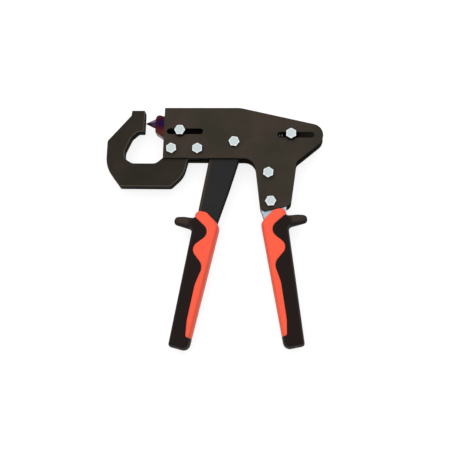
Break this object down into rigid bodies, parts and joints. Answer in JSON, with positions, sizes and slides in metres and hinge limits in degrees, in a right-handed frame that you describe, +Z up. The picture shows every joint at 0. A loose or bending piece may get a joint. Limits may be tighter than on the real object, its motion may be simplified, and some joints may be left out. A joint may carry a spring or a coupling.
{
  "type": "section setting plier",
  "caption": "One-hand punch-lock plier: a squeezed lever drives a sliding ram and square-pointed punch into a C-shaped anvil jaw between two slotted side plates.",
  "frame": {"origin": "middle of the tool's footprint as it lies flat, on the plane that its frame bolts' ends rest on", "axes": "+X from the jaw to the plates' rear end, along the ram; +Y from the grips to the plates' top edge; +Z up, along the bolts"},
  "size_m": [0.2284, 0.2562, 0.0308],
  "materials": {
    "phosphated_plate": "dark brown-black phosphate, satin",
    "phosphated_jaw": "dark phosphate on forged steel, satin, bright worn edges",
    "zinc_fasteners": "bright zinc plating",
    "nylon_insert": "natural nylon",
    "ground_steel": "ground and oiled",
    "zinc_plated_sheet": "pale blue zinc plating",
    "black_paint": "black paint, low gloss",
    "coral_plastic": "moulded, fine matt grain",
    "black_soft_plastic": "soft moulded, matt",
    "oiled_steel": "milled and oiled",
    "tempered_steel": "hardened, with blue, purple and brown temper colours",
    "black_washers": "blacked",
    "spring_steel": "drawn wire"
  },
  "bodies": {
    "frame": {"front_side_plate": "phosphated_plate", "back_side_plate": "phosphated_plate", "anvil_jaw": "phosphated_jaw", "jaw_bolts": "zinc_fasteners", "handle_bolts": "zinc_fasteners", "pivot_bolt": "zinc_fasteners", "jaw_lock_nuts": "zinc_fasteners", "handle_lock_nuts": "zinc_fasteners", "pivot_lock_nut": "zinc_fasteners", "nut_inserts": "nylon_insert", "pivot_sleeve": "ground_steel", "handle_spacers": "zinc_fasteners", "fixed_handle_channel": "zinc_plated_sheet", "fixed_grip_core": "coral_plastic", "fixed_grip_cover": "black_soft_plastic", "spring_seat": "ground_steel"},
    "lever": {"lever_channel": "black_paint", "drive_pin": "ground_steel", "lever_grip_core": "coral_plastic", "lever_grip_cover": "black_soft_plastic"},
    "ram": {"ram_bar": "oiled_steel", "punch": "tempered_steel", "front_guide_bolt": "zinc_fasteners", "rear_guide_bolt": "zinc_fasteners", "guide_washers": "black_washers", "guide_nuts": "zinc_fasteners", "return_spring": "spring_steel"}
  },
  "joints": [
    {"name": "lever_pivot", "type": "hinge", "parent": "frame", "child": "lever", "pos_m": [0.02135, 0.08959, 0.016], "axis": [0, 0, 1], "range_deg": [-20, 23], "stiffness_Nm_per_rad": 1.3},
    {"name": "ram_slide", "type": "slide", "parent": "frame", "child": "ram", "axis": [-1, 0, 0], "range_m": [-0.009, 0.0103], "deforming": ["return_spring"]}
  ],
  "couplings": [
    {"joint": "ram_slide", "follows": "lever_pivot", "m_per_rad": 0.02548}
  ]
}
